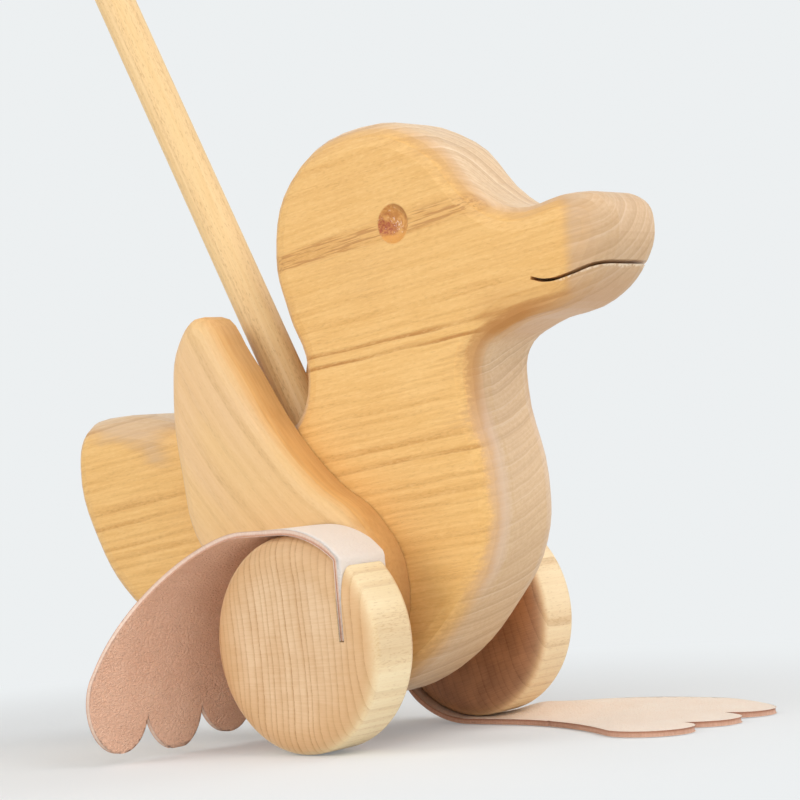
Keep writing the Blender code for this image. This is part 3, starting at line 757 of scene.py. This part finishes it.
lip_x = KERF_OFFSET - (TONGUE_LEATHER + 2 * GAP) / 2 + GAP - LIP_BEND
LIP = (lip_x, math.sqrt((WHEEL_RADIUS + GAP - LIP_BEND) ** 2 - lip_x ** 2))


def toe(length, middle, start, end, steps):
    """Points round a toe, which is half an oval on the ball of the foot."""
    ball = FOOT_LENGTH - MIDDLE_TOE_LENGTH
    return [(ball + length * c, middle + TOE_WIDTH * s) for c, s in arc((0, 0), 1, start, end, steps)]


def half_pattern():
    """Half of the pattern's edge: (along, across) in millimetres, from the tongue to the middle toe."""
    strap = STRAP_WIDTH / 2
    tongue = KERF_FLOOR + GAP - LIP[1]
    notch = math.degrees(math.acos(1 / TOE_OVERLAP))
    outer = toe(TOE_LENGTH, TOE_PITCH, OUTER_TOE_START, notch - 90, 40)
    middle = toe(MIDDLE_TOE_LENGTH, 0, 90 - notch, 0, 18)
    run = outer[0][0] - WEB_START
    rise = outer[0][1] - strap
    web = [(WEB_START + run * i / WEB_STEPS, strap + rise * (i / WEB_STEPS) ** WEB_CURVE)
           for i in range(WEB_STEPS)]
    return [(tongue, 0), (tongue, strap), (0, strap)] + web + outer + middle[1:]


half = half_pattern()
other_half = [(s, -w) for s, w in reversed(half[1:-1])]
flat = np.array(half + other_half)

# %% [markdown]
# The pattern becomes a flat slab of leather. A 2D curve with a small bevel fills it and rounds its cut
# edges, and slicing it across and along gives it enough points to bend smoothly. Before it is bent, each
# corner's place on the flat pattern is kept as a UV map, its depth in the leather as a second one, and each
# face is told whether it is on the inner face, on the outer face or on the cut edge. The shears slipped
# once on the left foot and left a small nick where the web begins.

# %% The flat slab
CUT_EDGE = 0.35
UV_SCALE = 0.005
NICK_PLACE = 58.0
NICK_SIZE = 1.3
SLICE_MERGE = 0.01
FACE_ON = 0.9


def nicked(edge):
    """Half of the pattern's edge, with a small nick in it."""
    near = [abs(s - NICK_PLACE) < NICK_SIZE for s, w in edge]
    start, end = near.index(True), len(near) - near[::-1].index(True)
    w = (edge[start - 1][1] + edge[end][1]) / 2
    nick = [(NICK_PLACE - NICK_SIZE / 2, w), (NICK_PLACE, w - NICK_SIZE), (NICK_PLACE + NICK_SIZE / 2, w)]
    return edge[:start] + nick + edge[end:]


def flat_slab(name, pattern, cuts_along, cuts_across):
    """A pattern as a slab of leather with rounded cut edges, sliced for bending."""
    curve = bpy.data.curves.new(name, "CURVE")
    curve.dimensions = "2D"
    curve.fill_mode = "BOTH"
    curve.extrude = LEATHER / 2 - CUT_EDGE
    curve.bevel_depth = CUT_EDGE
    curve.bevel_resolution = 2
    curve.offset = -CUT_EDGE
    spline = curve.splines.new("POLY")
    spline.points.add(len(pattern) - 1)
    spline.use_cyclic_u = True
    for knot, (s, w) in zip(spline.points, pattern):
        knot.co = (s, w, 0, 1)
    drawn = bpy.data.objects.new(name + "_pattern", curve)
    scene.collection.objects.link(drawn)
    bpy.context.view_layer.update()
    mesh = bpy.data.meshes.new_from_object(drawn.evaluated_get(bpy.context.evaluated_depsgraph_get()))
    bpy.data.objects.remove(drawn)
    bpy.data.curves.remove(curve)
    slab = bmesh.new()
    slab.from_mesh(mesh)
    bmesh.ops.remove_doubles(slab, verts=slab.verts, dist=MERGE)
    cuts = [((s, 0, 0), (1, 0, 0)) for s in cuts_along] + [((0, w, 0), (0, 1, 0)) for w in cuts_across]
    for spot, normal in cuts:
        everything = slab.verts[:] + slab.edges[:] + slab.faces[:]
        bmesh.ops.bisect_plane(slab, geom=everything, plane_co=spot, plane_no=normal)
    bmesh.ops.remove_doubles(slab, verts=slab.verts, dist=SLICE_MERGE)
    bmesh.ops.recalc_face_normals(slab, faces=slab.faces)
    spread = slab.loops.layers.uv.new("pattern")
    depth = slab.loops.layers.uv.new("depth")
    for face in slab.faces:
        face.smooth = True
        face.material_index = 0 if face.normal.z < -FACE_ON else 1 if face.normal.z > FACE_ON else 2
        for corner in face.loops:
            corner[spread].uv = corner.vert.co.xy * UV_SCALE
            corner[depth].uv = (corner.vert.co.z / LEATHER + 0.5, 0)
    slab.to_mesh(mesh)
    slab.free()
    return mesh


print("a nick of", NICK_SIZE, "mm,", NICK_PLACE, "mm from the saw cut")

# %% [markdown]
# ## Bending the leather
# The tongue stands in the saw cut, the strap bends over the cut's lip and follows the tread. The right foot
# leaves the tread at the top, runs back, curves over and hangs behind the wheel. The left foot has come
# round underneath: its wheel stands on the strap, and the foot lies on the floor ahead. The right flap
# bends over with a radius of 34 mm, at least 4 mm clear of the wheel, and its middle toe ends about 3 mm
# above the floor. The path of the leather's inner face is drawn in the plane of the wheel, and every point
# of the slab is carried to its place along it.

# %% The paths the leather follows
FLAP_BEND = 34.0
HANG_GAP = 4.0
TOE_LIFT = 3.0
RIGHT_TWIST = math.radians(11)
LEFT_CURL = 3.1
TWIST_RUN = 20.0
TWIST_START = 3.0
AXLE_HEIGHT = 31.109
FOOT_SPLAY = HALF_BOARD + 2 * GAP + TOE_PITCH + TOE_WIDTH - WHEEL_MID
LEFT_CONTACT = 28.8


def foot_path(hanging):
    """The path, the distance along it, and the distance at which it leaves the tread."""
    rim = WHEEL_RADIUS + GAP
    lip = math.atan2(LIP[1], LIP[0])
    leave = math.pi / 2 + (0 if hanging else LEFT_WRAP)
    wrapped = LIP_BEND * lip + rim * (leave - lip)
    path = [(LIP[0] + LIP_BEND, KERF_FLOOR + GAP)]
    path += arc(LIP, LIP_BEND, 0, math.degrees(lip), 8)
    path += arc((0, 0), rim, math.degrees(lip), math.degrees(leave), 24)[1:]
    if hanging:
        rest = FOOT_LENGTH - wrapped - math.pi / 2 * FLAP_BEND
        clear = WHEEL_RADIUS + HANG_GAP - FLAP_BEND
        run = max(clear, rest - (rim - FLAP_BEND + AXLE_HEIGHT - TOE_LIFT))
        path += [(-run * i / 8, rim) for i in range(1, 8)]
        path += arc((-run, rim - FLAP_BEND), FLAP_BEND, 90, 180, 36)
        path += [(path[-1][0], path[-1][1] - (rest - run) * i / 10) for i in range(1, 11)]
    else:
        off = np.array(path[-1])
        ahead = np.array((-math.sin(leave), math.cos(leave)))
        path += [off + ahead * (FOOT_LENGTH - wrapped) * i / 40 for i in range(1, 41)]
    path = np.array(path)
    along = np.concatenate(([0], np.cumsum(np.hypot(*np.diff(path, axis=0).T))))
    return path, along - along[1], wrapped


def smooth(value):
    """Ease from 0 to 1."""
    value = np.clip(value, 0, 1)
    return value * value * (3 - 2 * value)


for name, hanging in (("right", True), ("left", False)):
    print("the", name, "foot leaves the tread", round(foot_path(hanging)[2], 1), "mm from the saw cut")


# %% [markdown]
# A cloth simulation could bend the feet too, but thick leather that is bent one way keeps that shape, and a
# remesh would lose its cut edges. So each point is carried along the path and keeps its place across the
# strap and through the leather. The right flap rolls a little about its length, and the left strap's outer
# side curls up from the floor.

# %% Bend a slab along its path
def bent(points, hanging):
    """Where the flat slab's points go, in millimetres from the axle."""
    s, w, face = points.T
    path, along, wrapped = foot_path(hanging)
    steps = np.diff(path, axis=0)
    steps /= np.hypot(*steps.T)[:, None]
    tangents = np.concatenate((steps[:1], steps[:-1] + steps[1:], steps[-1:]))
    tangents /= np.hypot(*tangents.T)[:, None]
    x, z, tx, tz = (np.interp(s, along, column) for column in (*path.T, *tangents.T))
    thickness = TONGUE_LEATHER + (LEATHER - TONGUE_LEATHER) * smooth(s / (4 * LEATHER))
    lift = (face / LEATHER + 0.5) * thickness
    spread = smooth((s - WEB_START) / (FOOT_LENGTH - 2 * TOE_LENGTH - WEB_START))
    if hanging:
        roll = smooth((s - wrapped - TWIST_START) / TWIST_RUN) * (1 - 0.9 * spread)
        lift = lift - np.maximum(0, STRAP_WIDTH / 2 - w) * math.tan(RIGHT_TWIST) * roll
    x = x + tz * lift
    z = z - tx * lift
    if hanging:
        return np.stack([x, -(WHEEL_MID + FOOT_SPLAY * spread) - w, z], axis=1)
    y = WHEEL_MID - w
    turn = np.pi + LEFT_WRAP
    x, z = x * math.cos(turn) + z * math.sin(turn), z * math.cos(turn) - x * math.sin(turn)
    z = z - (y - LEFT_CONTACT) * math.tan(LEAN) * smooth(s / wrapped)
    out = np.maximum(0, (y - WHEEL_MID) / STRAP_WIDTH + 0.5)
    curl = smooth((s - wrapped + TWIST_START) / TWIST_RUN)
    curl = curl * (1 - smooth(1.2 * (s - WEB_START) / (FOOT_LENGTH - WEB_START) - 0.2))
    z = z + LEFT_CURL * (np.minimum(out, 1) ** 2 + np.maximum(0, out - 1)) * curl
    return np.stack([x, y, z], axis=1)


for name, hanging in (("right", True), ("left", False)):
    tip = bent(np.array([(FOOT_LENGTH, 0, 0)]), hanging)[0]
    print("the", name, "middle toe ends at", np.round(tip, 1), "mm from the axle")

# %% [markdown]
# ## Leather finishes
# The leather has two faces. The grain side is a rose brown with fine pebbled creases, and the flesh side is
# a pale, dry suede. It is whiter on the right foot's strap, painted light where the strap lies on top of the
# wheel, and brown where the left one leaves the saw cut, a stain with painted shade under the wheel. On the
# right foot the grain side is turned to the wheel, and on the left foot it lies on the floor.
# The cut edge is fibrous, with a thin brown line on one side. It is a lit and a shaded copy of one edge:
# pale with painted light on the right foot, and browner with painted shade on the left. All of them lie on
# the flat pattern's UV map, so the creases keep their size where the leather bends.

# %% The two sides of the leather and its cut edge
LEATHER_IOR = 1.42
PEBBLES = (2.2, 1.3, 1)
STRAP_ENDS = (44, 26)


def leather(name, pale, deep, creases, roughness, sheen, strap_colour=None, strap_colour_ends=STRAP_ENDS, line=None):
    """A leather surface. Creases is how deep its grain is in millimetres.
    The strap's colour is painted light on the right foot and painted shade with a brown stain on the left.
    """
    material, shader, place = start_finish(name, IOR=LEATHER_IOR, Sheen_Weight=sheen, Sheen_Roughness=0.5)
    cut = place.node("UVMap", {"uv_map": "pattern"}, {}) * (1 / UV_SCALE, 1 / UV_SCALE, 0)
    warp = cut.node("TexNoise", {}, {"Vector": cut, "Scale": 0.7, "Detail": 2.0}, "Color")
    shift = warp.node("VectorMath", {"operation": "SUBTRACT"}, {0: warp, 1: (0.5, 0.5, 0.5)})
    spot = (cut + shift * (0.9, 0.9, 0)) * PEBBLES
    sockets = {"Vector": spot, "Smoothness": 0.3, "Scale": 1.0}
    pebbles = spot.node("TexVoronoi", {"feature": "SMOOTH_F1"}, sockets, "Distance")
    fine = cut.cloud(3.5, 3.0, 0.6)
    patches = cut.cloud(0.06, 3.0, 0.6)
    speckle = cut.cloud(1.4, 4.0, 0.75)
    tone = patches * 0.5 + speckle * 0.4 + pebbles * 0.2
    colour = tone.ease(0.25, 0.8).mix(pale, deep)
    if strap_colour:
        # A colour over the strap: painted light on the right foot, painted shade and a brown stain on the
        # left
        colour = (cut.dot((1, 0, 0)).ease(*strap_colour_ends) * (0.4 + 0.6 * speckle)).mix(colour, strap_colour)
    if line:
        depth = place.node("UVMap", {"uv_map": "depth"}, {}).dot((1, 0, 0))
        colour = (depth + fine * 0.3).ease(0.72, 0.3).mix(colour, line)
    end_finish(shader, colour, roughness + fine * 0.15, (1 - pebbles) * 0.7 + fine * 0.3, creases)
    return material


grain_side = leather("leather_grain_side", (0.96, 0.63, 0.46), (0.80, 0.465, 0.32), 0.55, 0.5, 0.1)
flesh_side = leather("leather_flesh_side", (0.96, 0.83, 0.705), (0.88, 0.71, 0.57), 0.2, 0.72, 0.2,
                     strap_colour=(0.90, 0.84, 0.79))
stained_and_shaded_flesh = leather("leather_stained_and_shaded_flesh_side", (0.985, 0.875, 0.75), (0.94, 0.76, 0.61),
                        0.2, 0.72, 0.2, strap_colour=(0.45, 0.25, 0.16), strap_colour_ends=(27, 22))
# A lit and a shaded copy of the cut edge: painted light on the right foot, painted shade on the left
lit_edge = leather("leather_lit_edge", (0.89, 0.71, 0.59), (0.76, 0.54, 0.42), 0.1, 0.75, 0.1,
                    line=(0.60, 0.31, 0.20))
shaded_edge = leather("leather_shaded_edge", (0.76, 0.47, 0.34), (0.58, 0.32, 0.22), 0.1, 0.75, 0.1,
                     line=(0.48, 0.225, 0.14))
print("leather:", ", ".join(m.name for m in (grain_side, flesh_side, stained_and_shaded_flesh, lit_edge, shaded_edge)))

# %% [markdown]
# ## Making the feet
# Each foot takes the place of its plain CAD solid. The strap is fixed to the wheel and turns with it, but
# the limp web is held back by the floor and the duck. Where the foot leaves the tread, a short stretch of it
# is finely sliced.

# %% Make both feet
WINDING = 5.0
WINDING_SLICE = 0.3
WEB_SLICE = 2.0
CROSS_SLICE = 2.5
HALF_SPAN = 30


def make_foot(name, hanging):
    """A leather foot in place of the packed model's solid."""
    along, wrapped = foot_path(hanging)[1:]
    cuts_along = list(along[1:-1]) + list(np.arange(wrapped, FOOT_LENGTH, WEB_SLICE))
    cuts_along += list(np.arange(wrapped - WINDING, wrapped + WINDING, WINDING_SLICE))
    pattern = (half if hanging else nicked(half)) + other_half
    cuts_across = np.arange(-HALF_SPAN, HALF_SPAN + 0.1, CROSS_SLICE)
    mesh = flat_slab(name, pattern, sorted(cuts_along), cuts_across)
    points = np.empty(len(mesh.vertices) * 3)
    mesh.vertices.foreach_get("co", points)
    placed = bent(points.reshape(-1, 3), hanging) @ np.array(TILT).T * MM + np.array(AXLE)
    mesh.vertices.foreach_set("co", placed.ravel())
    mesh.update()
    right_sides = (grain_side, flesh_side, lit_edge)
    left_sides = (stained_and_shaded_flesh, grain_side, shaded_edge)
    for finish in right_sides if hanging else left_sides:
        mesh.materials.append(finish)
    foot = bpy.data.objects.new(name, mesh)
    scene.collection.objects.link(foot)
    ends = bent(np.array([(wrapped - WINDING, 0, 0), (wrapped + WINDING, 0, 0)]), hanging)
    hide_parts(name.replace("leather_", ""))
    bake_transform(foot)
    print(name, len(mesh.polygons), "faces")


make_foot("leather_right_foot", hanging=True)
make_foot("leather_left_foot", hanging=False)

# %% [markdown]
# ## Floor and light
# The toy stands on a pale seamless floor. Near the toy the floor is mostly an ordinary matt surface that
# takes its shadow, and further off, as the camera sees it, it fades into the same pale grey as the
# background, so no horizon shows.

# %% The floor
PALE = (0.845, 0.87, 0.88)
FLOOR_COLOUR = (0.84, 0.85, 0.85)
FLOOR_RADIUS = 6
FLOOR_DROP = 0.2 * MM
LEAST_FADE = 0.22


def seen_directly(tree):
    """1 for what the camera sees, also through or in something glossy, and 0 for light on other things."""
    rays = tree.nodes.new("ShaderNodeLightPath")
    seen = Wire(rays.outputs["Is Camera Ray"])
    for kind in ("Is Glossy Ray", "Is Transmission Ray"):
        seen = seen.maths("MAXIMUM", seen, Wire(rays.outputs[kind]))
    return seen


def floor_finish():
    """A matt floor that fades into the background away from the toy."""
    material, shader, place = start_finish("floor", Roughness=0.9)
    shader.inputs["Base Color"].default_value = (*FLOOR_COLOUR, 1)
    tree = material.node_tree
    distance = place.node("VectorMath", {"operation": "LENGTH"}, {0: place}, "Value")
    fade = (LEAST_FADE + (1 - LEAST_FADE) * distance.ease(0.1, 0.3)) * seen_directly(tree)
    glow = fade.node("Emission", {}, {"Color": (*PALE, 1), "Strength": 1.0})
    mixed = fade.node("MixShader", {}, {0: fade, 1: Wire(shader.outputs[0]), 2: glow})
    tree.links.new(mixed.socket, tree.nodes["Material Output"].inputs["Surface"])
    return material


form = bmesh.new()
bmesh.ops.create_circle(form, cap_ends=True, segments=96, radius=FLOOR_RADIUS)
floor = form_object("floor", form)
floor.data.materials.append(floor_finish())
floor.location.z = -FLOOR_DROP
print("floor", 2 * FLOOR_RADIUS, "m across")

# %% [markdown]
# The light is plain and soft: seven large lamps stand round the toy, most of them in front and above, one
# low in front for the undersides and one low behind for the edges. The world adds a little light from all
# sides, and where the camera sees it, it is the pale background.

# %% The light
LAMP_SIZE = 1.1
LAMP_DISTANCE = 1.8
LAMP_AIM = (0, 0, 60)
ROOM_LIGHT = 0.11


def soft_lamp(name, round_degrees, up_degrees, watts):
    """A square lamp that faces the duck. Its direction is given from the beak's, anticlockwise and up."""
    data = bpy.data.lights.new(name, "AREA")
    data.energy = watts
    data.size = LAMP_SIZE
    lamp = bpy.data.objects.new(name, data)
    scene.collection.objects.link(lamp)
    about, above = math.radians(round_degrees), math.radians(up_degrees)
    out = Vector((math.cos(about) * math.cos(above), math.sin(about) * math.cos(above), math.sin(above)))
    lamp.location = on_duck(*LAMP_AIM) + out * LAMP_DISTANCE
    lamp.rotation_euler = (-out).to_track_quat("-Z", "Y").to_euler()


soft_lamp("front_left", -120, 25, 12.7)
soft_lamp("front_right", -60, 25, 8.5)
soft_lamp("low_front", -30, 12, 4)
soft_lamp("right", 0, 40, 9)
soft_lamp("behind_right", 45, 50, 7)
soft_lamp("low_behind", 60, 12, 5)
soft_lamp("overhead", 0, 85, 7)

world = bpy.data.worlds.new("studio")
scene.world = world
world.use_nodes = True
nodes = world.node_tree.nodes
seen = seen_directly(world.node_tree)
room = nodes["Background"]
room.inputs["Color"].default_value = (1, 1, 1, 1)
room.inputs["Strength"].default_value = ROOM_LIGHT
backdrop = seen.node("Background", {}, {"Color": (*PALE, 1), "Strength": 1.0})
sky = seen.node("MixShader", {}, {0: seen, 1: Wire(room.outputs[0]), 2: backdrop})
world.node_tree.links.new(sky.socket, nodes["World Output"].inputs["Surface"])

# %% [markdown]
